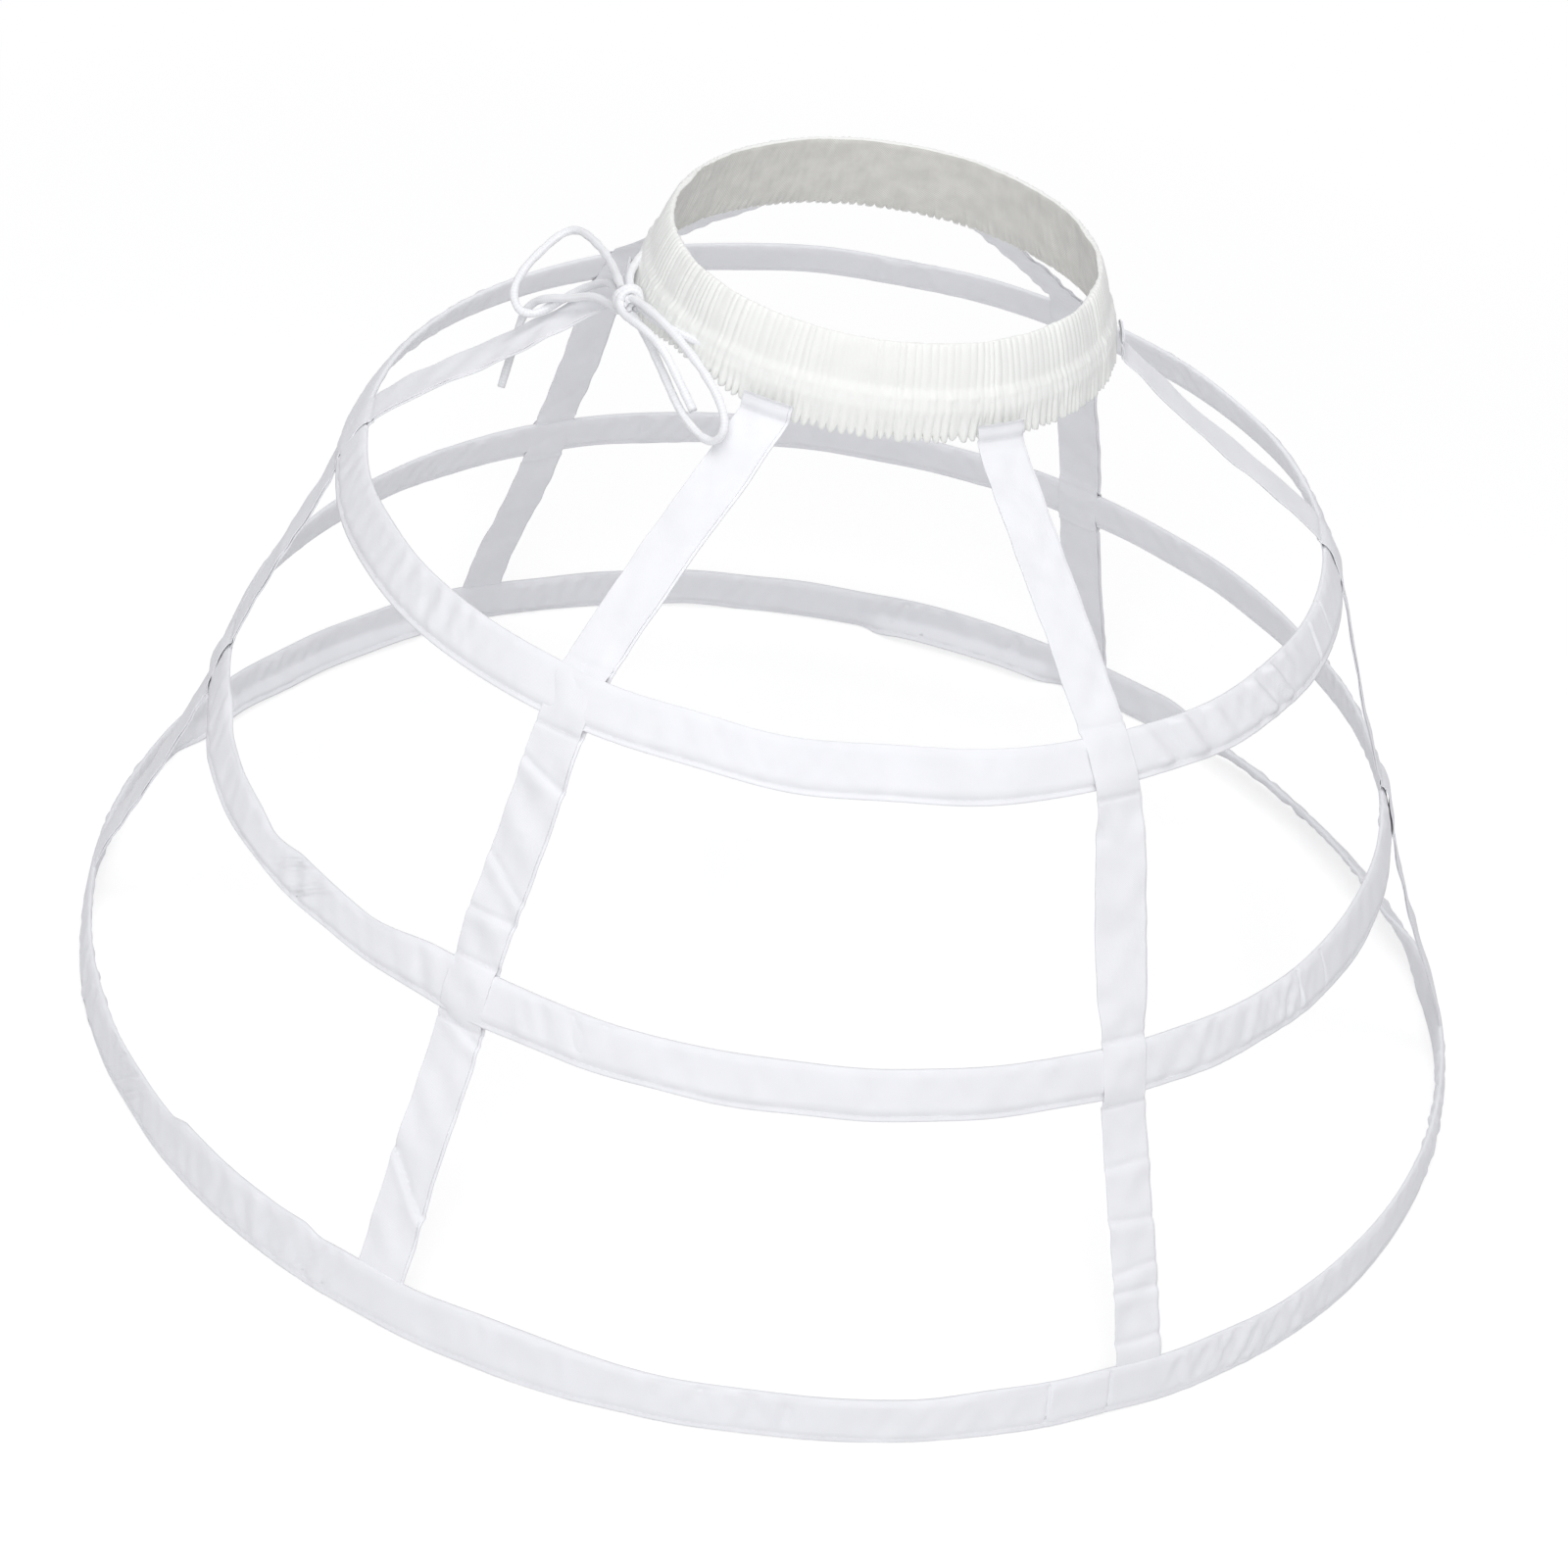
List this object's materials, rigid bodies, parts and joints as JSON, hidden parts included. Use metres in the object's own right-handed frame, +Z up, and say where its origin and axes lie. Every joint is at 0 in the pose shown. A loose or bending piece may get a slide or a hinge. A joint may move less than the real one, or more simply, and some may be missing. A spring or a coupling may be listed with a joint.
{
  "type": "crinoline cage",
  "caption": "Hooped underskirt frame: boned hoops in cloth casings hang on doubled tapes from a gathered drawstring waistband and widen towards the hem.",
  "frame": {"origin": "centre of the cage on the surface that the bottom hoop's lower edge lies on", "axes": "+Z up along the cage's axis, -Y towards the wearer's front"},
  "size_m": [0.6049, 0.6048, 0.368],
  "materials": {
    "casing_cloth": "plain weave, matt",
    "strap_tape": "woven tape, matt",
    "waistband_cloth": "gathered weave, matt",
    "elastic_web": "ribbed elastic",
    "cord_braid": "braided cotton",
    "spring_steel": "rolled strip",
    "crimped_steel": "plated sheet"
  },
  "bodies": {
    "root": {"bottom_hoop_casing": "casing_cloth", "bottom_hoop_boning": "spring_steel", "bottom_hoop_ferrule": "crimped_steel", "middle_hoop_casing": "casing_cloth", "middle_hoop_boning": "spring_steel", "middle_hoop_ferrule": "crimped_steel", "top_hoop_casing": "casing_cloth", "top_hoop_boning": "spring_steel", "top_hoop_ferrule": "crimped_steel", "right_strap": "strap_tape", "back_right_strap": "strap_tape", "back_left_strap": "strap_tape", "left_strap": "strap_tape", "front_left_strap": "strap_tape", "front_right_strap": "strap_tape", "waistband": "waistband_cloth", "waist_elastic": "elastic_web", "drawstring": "cord_braid", "bow_knot": "cord_braid", "bow_front_loop": "cord_braid", "bow_side_loop": "cord_braid", "bow_front_tail": "cord_braid", "bow_side_tail": "cord_braid"}
  },
  "joints": []
}
